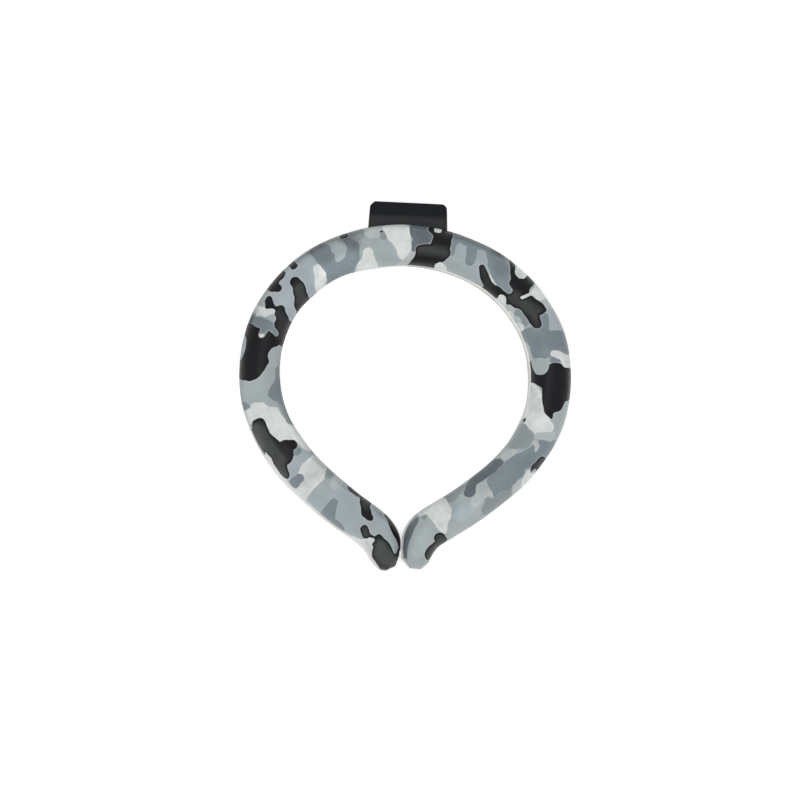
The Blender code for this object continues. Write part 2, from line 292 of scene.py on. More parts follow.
    ("white", (125.5, 4.6, 2.4), (126, 0, 4.9), (123, -6, 6.4), (113, -10.4, 6.6), (112, -14, 6.6)),
    ("white", (120, -12, 6.2),),
    ("steel", (135, 13, 5.4), (136, 6, 4.4), (143, 3.4, 4.4), (146, 0.6, 3.6), (151, 2, 5.0), (161, 3, 5.4)),
    ("steel", (147, -1.4, 2.2), (153, -2, 3.0), (162, -1.6, 3.2)),
    ("pale", (128.9, 9, 2.3), (129.6, 4.6, 2.0), (131, 1, 1.4)),
    ("grey", (134.6, -3.4, 3.6), (137.4, -3.6, 3.6), (138, -9, 6.4), (137, -13, 7.0)),
    ("grey", (131.6, -8, 3.0),),
    ("pale", (155.4, 13, 4.6), (153.6, 9, 2.4), (156.4, 8.4, 1.8)),
    ("black", (141.2, 14, 3.4), (141, 11.2, 2.9), (144.2, 9.4, 1.8), (145.8, 9.6, 0.9)),
    ("white", (150, 14, 4.2), (150.2, 11.2, 2.8), (147.8, 8.2, 1.2)),
    ("pale", (134.8, 1.7, 1.2), (135.6, 3.6, 1.3), (137.4, 4.1, 1.0)),
    ("slate", (153.4, -7, 2.5), (158, -9.8, 5.2), (166, -11, 5.2)),
    ("pale", (144.6, -4.8, 1.9), (148.8, -7, 2.5)),
    ("pale", (168, 1, 2.6), (168, -3.2, 2.8), (170, -1, 3.0), (175, 0.8, 2.2)),
    ("grey", (165, 10, 6.0), (171.4, 8.2, 4.0), (169.6, 3.6, 1.5)),
    ("slate", (174.2, -5.4, 3.0), (171.4, -8.8, 3.2), (166, -11.4, 5.0)),
    ("grey", (178.6, -12, 4.2), (183.4, -10, 3.8), (183.6, -14, 3.8)),
    ("white", (195.2, 5, 1.2), (194.3, 1, 3.0), (191.8, -4, 5.2), (192, -10, 5.6), (193.4, -13, 6.8)),
    # Right tip
    ("grey", (198.6, -7.4, 1.3)),
    ("slate", (203.4, -10, 2.8), (208, -9.8, 4.2), (212, -8.6, 3.2), (216, -5.2, 1.0), (218.2, -3.9, 0.6)),
    ("black", (199.5, 6.8, 3.5), (200.4, 10.5, 4.2), (206, 10.1, 4.7), (210.4, 8.5, 4.3)),
    ("black", (127.1, -9.7, 1.15),),
)

# Where the print is lighter or darker within its inks, charted like the blotches.
# The rows that pale the black show how far it goes towards its paler, warmer tone: partly the ink's own fading,
# partly
# a painted highlight, most of all along the crest. The depth rows lighten or darken the finished print by this share:
# partly the print's own uneven tone, and in the long dark rows near the weld painted shade on the tube's flanks.
# kind, strength at the chain's middle, then each lobe's place along, place across and radius, in mm
TONES = (
    # Painted highlight and fading in the black: paler, warmer patches, many of them along the crest where the light
    # falls
    ("faded", 0.9, (-218, -3, 2.0), (-213, 0.5, 2.0), (-209.6, 0.4, 1.4)),
    ("faded", 0.35, (-220, 3.4, 1.0), (-209, 1.4, 1.0)),
    ("faded", 0.45, (-191.6, -9, 1.0), (-190.6, -14, 1.5)),
    ("faded", 0.85, (-154, 7.6, 1.6), (-148, 5, 1.6), (-141, 6.6, 2.6), (-132, 6.4, 1.8)),
    ("faded", 0.7, (-199.6, 3, 1.4),),
    ("faded", 0.45, (141.6, 12, 1.6), (143, 9.4, 1.0)),
    ("faded", 0.35, (-137, 11, 2.0), (-131, 9, 1.0)),
    ("faded", 0.35, (-84, -6.4, 1.0), (-77.6, -6, 1.0), (-76.6, -2.4, 1.0)),
    ("faded", 0.65, (-59.4, -2.4, 1.0), (-62.6, -5.6, 1.2)),
    ("faded", 0.5, (4.6, -0.8, 0.5), (16.6, -0.6, 0.5)),
    ("faded", 0.3, (38, -3.4, 0.8), (45, -5.6, 1.0)),
    ("faded", 0.55, (57.6, -3.4, 1.2), (64, -1.4, 1.2), (70.6, 1.4, 1.2)),
    ("faded", 0.25, (75, -1.6, 0.8),),
    ("faded", 0.6, (199.4, 7.6, 1.4), (207, 8.6, 1.2), (211, 7.6, 1.2)),
    ("depth", -0.16, (-43, 13, 2.4), (-41, 7, 2.4), (-40, 2.4, 1.4)),
    ("depth", -0.34, (-29.4, 9, 0.8), (-26, 4.4, 0.8)),
    ("depth", 0.18, (-43, -3, 1.6), (-30, -3, 1.6)),
    ("depth", -0.2, (-50, 11.5, 1.6), (-27, 11.5, 1.6)),
    ("depth", 0.16, (-47, -1, 1.0), (-49.5, -6, 1.0)),
    ("depth", 0.18, (-24, -8.6, 1.4), (-18.4, -8.6, 1.4)),
    ("depth", -0.2, (-44, -12, 1.4), (-34, -12, 1.4)),
    ("depth", -0.18, (-198, -10, 1.0),),
    ("depth", 0.15, (177.6, 4, 1.4), (183, 2, 1.4)),
    # Painted shade: the long dark rows near the weld, about 13 to 15 mm across from the crest, darken the tube's
    # flanks
    ("depth", -0.28, (-208, -14.6, 2.0), (-56, -14.6, 2.0)),
    ("depth", -0.26, (-132, 14.6, 2.0), (-84, 14.6, 2.0)),
    ("depth", -0.34, (-84, 14.6, 2.0), (-22, 14.6, 2.2)),
    ("depth", -0.52, (21, 12.8, 2.6), (38, 12.8, 2.6)),
    ("depth", -0.2, (42, 13.4, 2.6),),
    ("depth", -0.15, (60, 13.6, 2.4), (94, 13.6, 2.4)),
    ("depth", -0.12, (186, -3.4, 1.2), (185.6, -8.6, 1.4)),
    ("depth", -0.12, (52.4, 9, 1.0),),
    ("depth", -0.1, (168, -2, 1.0),),
    ("depth", 0.1, (54.6, -9, 1.0),),
    ("depth", -0.22, (148, -14.6, 2.0), (198, -14.6, 2.0)),
    ("faded", 0.5, (99, 15, 1.6), (112, 15, 1.6)),
    ("depth", 0.08, (-139, -6.6, 2.4), (-131, -3, 2.0)),
    ("depth", 0.1, (-147, -13, 1.6), (-141, -11.6, 1.6)),
    ("depth", -0.1, (-163.6, -1, 2.4), (-162, -12, 3.0)),
    ("depth", -0.09, (-213, 8, 1.6), (-206, 8, 1.6)),
    ("depth", -0.06, (-198, -1, 1.6), (-184, -4, 3.0)),
    ("depth", -0.08, (-116.6, -8, 2.4), (-112, -12.4, 2.0)),
    ("depth", 0.06, (-116, 8, 2.0), (-112, 3, 2.0)),
    ("depth", -0.2, (-83, 13, 1.6), (-83, 3, 1.6)),
    ("depth", 0.05, (-70, -2, 2.0), (-66, 2, 2.0)),
    ("depth", 0.09, (-5, -2.6, 1.4), (-4, 6, 2.0)),
    ("depth", -0.14, (41, 9, 2.4), (45, 3, 1.6)),
    ("depth", 0.1, (50, -2.4, 1.0), (54, -2.6, 0.8)),
    ("depth", -0.13, (84, -1, 2.4), (86, 7, 2.0)),
    ("depth", -0.12, (-78.4, 9, 1.0),),
    ("depth", -0.08, (112, -12, 2.4), (118, -7, 2.0)),
    ("depth", 0.07, (124, -3, 2.4), (126, 4, 1.2)),
    ("depth", -0.07, (144, 4, 1.6), (150, 1, 1.6)),
    ("depth", -0.1, (158, -9, 1.6), (168, -10, 1.6)),
    ("depth", 0.07, (186, 6, 2.0), (190, 8, 2.0)),
    ("depth", 0.12, (204, 0, 1.6), (212, 1, 1.6)),
)
# How far a tone reaches past its lobes, in mm
TONE_REACH = 4.0

# The order in which the shader lays the inks over the ground
INK_ORDER = ("pale", "grey", "white", "steel", "slate", "black")
# Half the width of each ink's soft edge, and its tone just inside that edge as a share of its own
INK_BLUR = {"pale": 0.32, "grey": 0.32, "white": 0.26, "steel": 0.3, "slate": 0.3, "black": 0.2}
RIM_TONE = {"pale": 1.0, "grey": 1.0, "white": 1.05, "steel": 0.97, "slate": 0.96, "black": 0.75}
# How far the ground shows through each ink where it lies thinnest
INK_THIN = {"pale": 0.2, "grey": 0.1, "white": 0.2, "steel": 0.14, "slate": 0.12, "black": 0.0}
# How far ink spreads past its chart, how far in its rim reaches, and how far out its pale keyline does, in mm
INK_SPREAD = 0.12
RIM_REACH = 1.4
KEYLINE_REACH = 0.85
KEYLINE_TONE = {"steel": 0.16, "slate": 0.22, "black": 0.45}
# How far the print wanders off its chart, and over which length, in mm
PRINT_WANDER = 0.16
PRINT_WAVE = 5.0

# The part of a noise's range over which each thing turns
NOISE_SPAN = {"From Min": 0.3, "From Max": 0.7}
DRIFT_SPAN = {"From Min": 0.4, "From Max": 0.6}
THIN_SPAN = {"From Min": 0.38, "From Max": 0.56}
BREAKUP_SPAN = {"From Min": 0.3, "From Max": 0.5}
# The least of the charted fading and painted highlight that the noise leaves in a place
BREAKUP_LEAST = 0.75
# The sockets and settings of a node that mixes two colours, and the setting of an eased range
SHARE, FIRST, SECOND = 0, 6, 7
COLOUR_MIX = {"output": 2, "data_type": "RGBA"}
SMOOTH = {"interpolation_type": "SMOOTHSTEP"}

# Textures: size of the pattern and depth of its relief in mm, and depth of its tone
DRIFT_SIZE = 26.0
CLOUD_SIZE = 6.0
CLOUD_TONE = 0.05
CLOUD_RELIEF = 0.05
# Drawn about twice as coarse as the film's real grain, so that it shows
GRAIN_SIZE = 0.5
GRAIN_TONE = 0.02
GRAIN_RELIEF = 0.012
PRESS_SIZE = 1.6
PRESS_RELIEF = 0.03
TAB_GRAIN_SIZE = 0.4
TAB_GRAIN_TONE = 0.18
TAB_RELIEF = 0.03
HAZE_SIZE = 1.5
# The darker tone of the weld and of the filling, as a share of the paler one
WELD_SHADE = 0.88
FILLING_SHADE = 0.8
# Roughness, and how far it goes up and down with the pattern
FILM_ROUGHNESS = 0.42
SHEEN_SPREAD = 0.05
TAB_ROUGHNESS = 0.58
TAB_SHEEN_SPREAD = 0.08
# The shader's specular level, where 0.5 is what the IOR gives
FILM_SHINE = 0.13
TAB_SHINE = 0.1
# Where the tab's colour turns from the painted light of its inner half to the near-black, as shares of the way from
# its root to its outer edge
TAB_FADE = (0.42, 0.62)

# Surfaces, in metres
# The middle line's length on one side, which sets the number of stations
HALF_LENGTH = 214.3 * MM
# How fast the tube swells from its tip, against an even taper
SWELL_START = 1.6
# Readings along the spline, and round the even section on which the print was charted
SPLINE_READINGS = 4000
CHART_READINGS = 200
# Number of waves in a relief, and the range of their number in one spacing
WAVE_COUNT = 7
WAVE_SPREAD = (0.7, 1.4)
# The soft skin's long and short waves, and the short ones' share
SKIN_WAVE = 21.0 * MM
SKIN_RIPPLE = 7.0 * MM
RIPPLE_SHARE = 0.35
# How the film's foot wanders along the bare weld, and how sharply the arch turns to it
FOOT_WAVE = 15.0 * MM
FOOT_WOBBLE = 0.12 * MM
FOOT_POWER = 5
# The hollow beside the foot, and half the seam between the two films
HOLLOW_DEPTH = 0.08 * MM
WELD_SEAM = 0.02 * MM
# Steps across the margin, points round its edge, and points over the inner face
MARGIN_COLUMNS = 5
EDGE_COLUMNS = 5
INNER_COLUMNS = 6
# Points this close are merged
SAME_POINT = 0.001 * MM
# The table of the outline is read as a mean over this share of the arm's length to each side
TRIM_EASE = 0.012
TRIM_READINGS = 9
# Stations to each side over which the film's foot and the filling's side are evened out
FOOT_EASE = 9
CORE_EASE = 2
# The weld that always shows, and the width from which it is bare
LEAST_WELD = 0.22 * MM
BARE_FROM = 0.25 * MM
# Share of the tube's half width from which the print follows the skin's own length
CHART_LIMIT = 0.96
# The grey line of painted shade along the weld: distance from the edge, reach, and share of it on the -X side
SHADE_LINE_AT = 0.45 * MM
SHADE_LINE_REACH = 0.35 * MM
SHADE_LINE_LEAST = 0.3
# The gap between the films and the filling, and how many of the films' stations make one of its own
CORE_GAP = 0.3 * MM
CORE_STRIDE = 5
# Steps across the tab and out along it
TAB_COLUMNS = 150
TAB_ROWS = 60
# How far the tab's root stays off the tube, and how far the tab lies above its solid's middle
TAB_TUCK = 0.25 * MM
TAB_LIFT = 0.2 * MM
# How the two outer corners are cut, -X side first: 1 is a straight cut, 2 a quarter circle
CORNER_POWERS = (1.2, 1.7)
# How much higher the outer edge lies at its -X end
TAB_SLANT = 0.3 * MM
# The fine groove round the tab
GROOVE_INSET = 0.9 * MM
GROOVE_WIDTH = 0.16 * MM
GROOVE_DEPTH = 0.05 * MM

# Strength of the room's light, and of the floor's own
ROOM_LIGHT = 0.9
FLOOR_GLOW = 0.4
# name, place in metres, width in metres, power in watts
LAMPS = (("overhead_softbox", (0.0, 0.0, 0.5), 0.25, 0.5),)
# How far the camera sees, in metres
CLIP_END = 10.0


def linear(hex_colour):
    """The linear RGB of an sRGB hex value such as #a9b4b8."""
    channels = np.array([int(hex_colour[start : start + 2], 16) for start in (1, 3, 5)]) / 255
    return tuple(np.where(channels <= 0.04045, channels / 12.92, ((channels + 0.055) / 1.055) ** 2.4))


def opaque(colour, share=1.0):
    """This share of a colour's brightness, as a colour socket takes it."""
    return (*[channel * share for channel in colour], 1.0)


def per_metre(millimetres):
    """The texture scale that repeats once in this many millimetres."""
    return 1 / (millimetres * MM)


def around(middle, spread):
    """The range of a mapped value, as the inputs that set it."""
    return {"To Min": middle - spread, "To Max": middle + spread}


def measure(name, description, default):
    """A length in metres that a user can change."""
    return bpy.props.FloatProperty(name=name, description=description, default=default, unit="LENGTH")


def tint(name, description, hex_colour):
    """A colour that a user can change."""
    return bpy.props.FloatVectorProperty(
        name=name, description=description, default=linear(hex_colour), subtype="COLOR"
    )


class FilmSizes(bpy.types.PropertyGroup):
    """Sizes of the formed films and of their weld."""

    tube_width: measure("Tube width", "Width of the tube without its margins", 0.0184)
    tip_width: measure("Tip width", "Width of the tube at a tip", 0.0136)
    tip_height: measure("Tip height", "Height of the tube at a tip", 0.0154)
    tip_taper: measure("Tip taper", "Length over which the tube narrows to a tip", 0.013)
    tip_gap: measure("Tip gap", "Clear distance between the two tips", 0.0014)
    margin_reach: measure("Margin reach", "How far the weld stands out from the tube", 0.0009)
    margin_top: measure("Margin top", "Height of a margin's face over the weld", 0.00075)
    wall: measure("Film wall", "Thickness of the formed film", 0.001)
    grid: measure("Grid", "Spacing of the surface's points", 0.00052)
    undulation: measure("Undulation", "How far the soft skin rises and falls", 0.00011)


class TabSizes(bpy.types.PropertyGroup):
    """Sizes of the moulded tab."""

    root_width: measure("Root width", "Width of the tab where it meets the tube", 0.0382)
    outer_width: measure("Outer width", "Width of the tab at its outer edge", 0.0371)
    corner: measure("Corner", "Radius of the outer corners", 0.0024)
    edge: measure("Edge", "Reach of the rounded edge", 0.00045)
    crown: measure("Crown", "How far the middle stands up", 0.00012)


class Inks(bpy.types.PropertyGroup):
    """Colours of the print, the bare weld, the tab and the filling."""

    ground: tint("Ground", "Light blue-grey under the blotches", "#99a3a9")
    ground_warm: tint("Warm ground", "Greener parts of the ground", "#98a1a2")
    pale: tint("Pale", "Palest grey", "#aaafaf")
    grey: tint("Grey", "Middle grey", "#828b8c")
    white: tint("White", "Off-white", "#c7cbc9")
    steel: tint("Steel", "Blue middle grey", "#747f85")
    slate: tint("Slate", "Dark blue-grey", "#5a6267")
    black: tint("Black", "Soft black", "#141518")
    # Painted highlight and fading: the black's paler, warmer tone, partly faded ink and partly painted highlight
    black_highlight_and_fade: tint("Faded black", "Worn, warmer parts of the black", "#474949")
    weld: tint("Weld", "Bare cream film", "#eeeee9")
    # Painted shade: the grey line near the weld's edge
    weld_shade_line: tint("Weld line", "Line pressed along the weld", "#c2c4c0")
    tab_dark: tint("Tab, outer half", "Near-black", "#14161b")
    # Painted light: the tab's inner half is lighter where it catches more light
    tab_inner_lit: tint("Tab, inner half", "Soft black", "#2e2f31")
    filling: tint("Filling", "Milky solid", "#dfe6e8")


class StageSizes(bpy.types.PropertyGroup):
    """Floor, light and camera."""

    floor_width: measure("Floor", "Width of the floor", 3.0)
    view_width: measure("View width", "Width that the picture spans at the weld", 0.38485)
    view_turn: bpy.props.FloatProperty(
        name="View turn", description="Turn of the camera about the vertical", default=math.radians(2.25),
        subtype="ANGLE"
    )
    view_x: measure("View X", "Middle of the picture", -0.00186)
    view_y: measure("View Y", "Middle of the picture", -0.00668)
    lens: bpy.props.FloatProperty(name="Lens", description="Focal length in mm", default=400.0, unit="CAMERA")


def travelled(points):
    """The distance from the first of these points to each, along the straight runs between them."""
    return np.concatenate([[0.0], np.cumsum(np.linalg.norm(np.diff(points, axis=0), axis=1))])


def natural_spline(points, places):
    """A curve through all the points with no sudden change of curvature, read at these shares of its length.

    Between two points it is a cubic. The second derivatives at the points solve the usual three-term system, with
    none at the two ends.
    """
    knots = travelled(points)
    spans = np.diff(knots)
    count = len(points)
    system = np.eye(count)
    bends = np.zeros((count, 2))
    slopes = np.diff(points, axis=0) / spans[:, None]
    for row in range(1, count - 1):
        system[row, row - 1 : row + 2] = spans[row - 1], 2 * (spans[row - 1] + spans[row]), spans[row]
        bends[row] = 6 * (slopes[row] - slopes[row - 1])
    bends = np.linalg.solve(system, bends)
    reading = np.linspace(0.0, knots[-1], SPLINE_READINGS)
    span = np.clip(np.searchsorted(knots, reading, side="right") - 1, 0, count - 2)
    length = spans[span][:, None]
    after = (reading - knots[span])[:, None] / length
    before = 1 - after
    curve = before * points[span] + after * points[span + 1]
    curve += ((before**3 - before) * bends[span] + (after**3 - after) * bends[span + 1]) * length**2 / 6
    reached = travelled(curve)
    return np.stack([np.interp(places * reached[-1], reached, curve[:, axis]) for axis in (0, 1)], axis=1)


def middle_line(sizes):
    """The +X half of the tube's middle line from the nape to the tip's centre, its outward normals and lengths."""
    low, high = FILM_BOX
    side_x = high.x - sizes.margin_reach - sizes.tube_width / 2
    tip_x = (sizes.tip_gap + sizes.tip_width) / 2 + sizes.margin_reach
    tip_y = low.y + sizes.margin_reach + sizes.tip_width / 2
    nape_y = high.y - sizes.margin_reach - sizes.tube_width / 2
    right = [
        (side_x * of_side + tip_x * of_tip, tip_y + (nape_y - tip_y) * along)
        for _, of_side, of_tip, along in MIDDLE_LINE
    ]
    left = [(-x, y) for x, y in right[-2::-1]]
    steps = round(HALF_LENGTH / sizes.grid)
    line = natural_spline(np.array(right + left), np.linspace(0.0, 1.0, 2 * steps + 1))
    ahead = np.gradient(line, axis=0)
    ahead /= np.linalg.norm(ahead, axis=1)[:, None]
    outward = np.stack([ahead[:, 1], -ahead[:, 0]], axis=1)
    line = line[steps::-1]
    outward = outward[steps::-1]
    return line, outward, travelled(line)


def tube_sizes(sizes, lengths):
    """Half width and half height along the middle line: each grows from the tip's by a square-law share."""
    share = np.clip((lengths[-1] - lengths) / sizes.tip_taper, 0.0, 1.0)
    share = SWELL_START * share + (1 - SWELL_START) * share**2
    full_height = CAD_BOX[1].z - CAD_BOX[0].z
    half_width = (sizes.tip_width + (sizes.tube_width - sizes.tip_width) * share) / 2
    half_height = (sizes.tip_height + (full_height - sizes.tip_height) * share) / 2
    return half_width, half_height


def outline(sizes):
    """Stations round the whole ring, as a loop: out along the +X half's outer side, round its tip, back along its
    inner side, and the same mirrored. Each has its middle point, its direction away from it, the tube's half width
    and half height, its length along the middle line, its turn round a tip's dome and its side of the mirror plane.
    The -X arm's middle points are then pushed over by 3 s^2 - 2 s^3 of the lean, s going from 0 to 1 along it."""
    line, outward, lengths = middle_line(sizes)
    half_width, half_height = tube_sizes(sizes, lengths)
    forward = np.array([outward[-1, 1], -outward[-1, 0]])
    dome_steps = round(math.pi * sizes.tip_height / 2 * math.sqrt(2) / sizes.grid)
    turns = np.linspace(0.0, math.pi, dome_steps + 1)[1:-1]
    dome = outward[-1] * np.cos(turns)[:, None] + forward * np.sin(turns)[:, None]
    last = len(line) - 1
    there = np.arange(len(line))
    station = np.concatenate([there, np.full(len(dome), last), there[::-1]])
    direction = np.concatenate([outward, dome, -outward[::-1]])
    turn = np.concatenate([np.zeros(len(line)), turns, np.full(len(line), math.pi)])
    # The +X half, then the -X half back from the inner nape, without the two stations that they share
    station = np.concatenate([station, station[-2:0:-1]])
    mirrored = direction[-2:0:-1] * (-1, 1)
    side = np.concatenate([np.ones(len(direction)), -np.ones(len(mirrored))])
    direction = np.concatenate([direction, mirrored])
    turn = np.concatenate([turn, turn[-2:0:-1]])
    centre = line[station] * np.stack([side, np.ones(len(side))], axis=1)
    lean = np.clip((lengths[station] / MM - LEAN_FROM) / (lengths[-1] / MM - LEAN_FROM), 0, 1) * (side < 0)
    centre += (lean**2 * (3 - 2 * lean))[:, None] * np.array(LEAN) * MM
    return {
        "centre": centre,
        "direction": direction,
        "half_width": half_width[station],
        "half_height": half_height[station],
        "along": lengths[station] * side,
        "length": lengths[-1],
        "turn": turn,
        "side": side,
    }


def trim(ring):
    """How far the outline lies off the middle line at each station, and how much of the weld is bare inside it.

    Along the arms both are read from the table, as a mean over a short reach. Round a tip the outline is made of
    straight runs between corners. For corners p and q and a direction d it is cross(p, q) / cross(d, q - p), and the
    weld's width goes from the outer side's to the inner side's with the cosine of the turn.
    """
    place = ring["along"] / ring["length"]
    table = np.array(TRIM)
    offsets = np.linspace(-TRIM_EASE, TRIM_EASE, TRIM_READINGS)
    outer, outer_weld, inner, inner_weld = [
        np.mean([np.interp(place + step, table[:, 0], table[:, column]) for step in offsets], axis=0)
        for column in range(1, 5)
    ]
    turn = ring["turn"]
    edge = np.where(turn > math.pi / 2, inner, outer)
    weld = outer_weld + (inner_weld - outer_weld) * (1 - np.cos(turn)) / 2
    for side, corners in TIP_CORNERS.items():
        turns, reaches = np.array(corners, float).T
        turns = np.radians(turns)
        points = np.stack([np.cos(turns), np.sin(turns)], axis=1) * reaches[:, None]
        on_tip = (ring["side"] == side) & (turn > 0) & (turn < math.pi)
        facing = turn[on_tip]
        run = np.clip(np.searchsorted(turns, facing) - 1, 0, len(turns) - 2)
        p, q = points[run], points[run + 1]
        ahead = q - p
        edge[on_tip] = (p[:, 0] * q[:, 1] - p[:, 1] * q[:, 0]) / (
            np.cos(facing) * ahead[:, 1] - np.sin(facing) * ahead[:, 0]
        )
    return edge * MM, weld * MM


def ring_mean(values, reach):
    """The mean over this many stations to each side, round the loop."""
    return np.mean([np.roll(values, step) for step in range(-reach, reach + 1)], axis=0)


def waves(along, across, spacing, seed):
    """A gentle relief between about -1 and 1: the mean of a few plane waves about this far apart, each with its own
    heading and phase, doubled."""
    rng = np.random.default_rng(seed)
    total = np.zeros(np.broadcast(along, across).shape)
    for _ in range(WAVE_COUNT):
        heading = rng.uniform(0, 2 * math.pi)
        count = rng.uniform(*WAVE_SPREAD) / spacing
        total += np.sin(2 * math.pi * count * (along * math.cos(heading) + across * math.sin(heading))
                        + rng.uniform(0, 2 * math.pi))
    return total / WAVE_COUNT * 2


def film_section(ring, sizes):
    """Distance from the middle line, height over the weld, distance across the skin, whether the film is bare, and
    distance inside the edge, for each station and each column of the section.

    From the crest the outer face is a quarter ellipse down to its foot, then a small hollow, the margin, its
    rounded edge and the flat weld. High up the ellipse reaches for a foot that is evened out along the ring, and
    only low down for the trimmed one: r = even sin t + (foot - even) sin(t)^n, where n is FOOT_POWER. The inner face
    is a quarter ellipse back to the crest, one wall inside.
    """
    edge, weld = trim(ring)
    wobble = waves(ring["along"], ring["turn"] * sizes.tip_width, FOOT_WAVE, seed=3) * FOOT_WOBBLE
    foot = edge - np.maximum(weld + wobble * (weld > BARE_FROM), LEAST_WELD)
    even = ring_mean(ring_mean(foot, FOOT_EASE), FOOT_EASE)[:, None]
    foot = foot[:, None]
    edge = edge[:, None]
    level = np.ones_like(foot)
    rise = ring["half_height"][:, None]
    columns = round(math.pi / 2 * sizes.tube_width / 2 / sizes.grid)
    turns = np.linspace(0.0, math.pi / 2, columns + 1)
    arch_reach = even * np.sin(turns) + (foot - even) * np.sin(turns) ** FOOT_POWER
    arch_height = sizes.margin_top + (rise - sizes.margin_top) * np.cos(turns)
    run = np.hypot(np.diff(arch_reach, axis=1), np.diff(arch_height, axis=1))
    across = np.hstack([0 * level, np.cumsum(run, axis=1)])
    # The soft skin sinks in by a gentle relief, most of all along its crest
    place = ring["along"][:, None], across * np.cos(ring["turn"])[:, None]
    relief = waves(*place, SKIN_WAVE, seed=5) + RIPPLE_SHARE * waves(*place, SKIN_RIPPLE, seed=8)
    grow = 1 + sizes.undulation * (relief - relief.max()) * np.sqrt(np.cos(turns)) / rise
    # The print was charted by how far out its places lie seen from above, on the tube's even section
    outwards = arch_reach / ring["half_width"][:, None]
    even_turns = np.linspace(0.0, math.pi / 2, CHART_READINGS)
    even_run = travelled(np.stack([np.sin(even_turns), np.cos(even_turns)], axis=1))
    quarter = (ring["half_width"][:, None] + rise - sizes.margin_top) / 2 * even_run[-1]
    charted = np.interp(outwards, np.sin(even_turns), even_run / even_run[-1]) * quarter
    charted = np.where(outwards[:, 1:] < CHART_LIMIT, np.diff(charted, axis=1), run)
    across = np.hstack([0 * level, np.cumsum(charted, axis=1)])
    half_edge = (sizes.margin_top - WELD_SEAM) / 2
    from_foot = np.linspace(0.0, 1.0, MARGIN_COLUMNS + 1)[1:-1]
    margin_reach = foot + (edge - half_edge - foot) * from_foot
    margin_height = sizes.margin_top - HOLLOW_DEPTH * np.sin(math.pi * from_foot) * level
    rounds = np.linspace(math.pi / 2, -math.pi / 2, EDGE_COLUMNS)
    rim_reach = edge - half_edge + half_edge * np.cos(rounds)
    rim_height = (WELD_SEAM + half_edge + half_edge * np.sin(rounds)) * level
    inner_turns = np.linspace(math.pi / 2, 0.0, INNER_COLUMNS)
    inner_reach = (foot - sizes.wall) * np.sin(inner_turns)
    inner_height = WELD_SEAM + (rise - sizes.wall - WELD_SEAM) * np.cos(inner_turns)
    reach = np.hstack([arch_reach * grow, margin_reach, rim_reach, inner_reach])
    height = np.hstack([arch_height * grow, margin_height, rim_height, inner_height])
    step = np.abs(np.diff(reach[:, columns:], axis=1))
    across = np.hstack([across, across[:, -1:] + np.cumsum(step, axis=1)])
    bare = (np.arange(reach.shape[1]) > columns) & (weld > BARE_FROM)[:, None]
    return reach, height, across, bare, edge - reach


def skin_places(ring, across):
    """Along and across, in mm, at each point of the grid. Round a dome they are the polar distance from its pole,
    turned into the straight tube's measures, so that a pattern runs on over the tip."""
    turn = ring["turn"][:, None]
    side = ring["side"][:, None]
    beyond = across * np.sin(turn)
    along = ring["along"][:, None] + side * beyond
    return along / MM, across * np.cos(turn) / MM


def loop_faces(rows, columns):
    """The corners of the quads between neighbouring stations and columns, round the closed loop of stations."""
    corner = np.arange(rows * columns).reshape(rows, columns)
    ahead = np.roll(corner, -1, axis=0)
    return np.stack([corner[:, :-1], ahead[:, :-1], ahead[:, 1:], corner[:, 1:]], axis=-1).reshape(-1, 4)


def tube_points(ring, reach, height):
    """The points this far from the middle line and this high over the weld, for each station and each column."""
    plan = ring["centre"][:, None, :] + ring["direction"][:, None, :] * reach[:, :, None]
    return np.concatenate([plan, (WELD_Z + height)[:, :, None]], axis=2)


def read(items, field, kind):
    """One field of these items as an array."""
    values = np.empty(len(items), kind)
    items.foreach_get(field, values)
    return values


def read_layer(mesh, layer):
    """The values kept at the mesh's points under this name."""
    return read(mesh.attributes[layer].data, "value", np.float32).astype(float)


def keep_layers(mesh, layers):
    """Keeps these named values at the mesh's points."""
    for layer, values in layers.items():
        mesh.attributes.new(layer, "FLOAT", "POINT").data.foreach_set("value", values.astype(np.float32).ravel())


def closed_mesh(name, points, faces, layers):
    """A mesh from these points and faces, with its doubles merged and these values kept at its points."""
    mesh = bpy.data.meshes.new(name)
    mesh.from_pydata(points.reshape(-1, 3).tolist(), [], faces.tolist())
    keep_layers(mesh, layers)
    work = bmesh.new()
    work.from_mesh(mesh)
    bmesh.ops.remove_doubles(work, verts=work.verts, dist=SAME_POINT)
    bmesh.ops.recalc_face_normals(work, faces=work.faces)
    work.to_mesh(mesh)
    work.free()
    mesh.shade_smooth()
    return mesh


def chain(along, across, lobes):
    """Signed distance in mm to a chain of lobes: from the nearest point of the straight runs between their middles,
    less a radius that changes evenly along each run. A lobe on its own is a run of no length."""
    if len(lobes) == 1:
        lobes = [*lobes, *lobes]
    lobes = np.array(lobes, float)
    nearest = np.full(along.shape, NO_INK)
    for start, run in zip(lobes[:-1], np.diff(lobes, axis=0)):
        share = (along - start[0]) * run[0] + (across - start[1]) * run[1]
        share = np.clip(share / max(run[0] ** 2 + run[1] ** 2, LEAST_RUN), 0, 1)
        gap = np.hypot(along - start[0] - share * run[0], across - start[1] - share * run[1])
        nearest = np.minimum(nearest, gap - start[2] - share * run[2])
    return nearest


def soft_min(one, other, reach):
    """The smaller of two distances, blended by a parabola where they differ by less than reach."""
    share = np.clip(0.5 + 0.5 * (other - one) / reach, 0, 1)
    return other + (one - other) * share - reach * share * (1 - share)


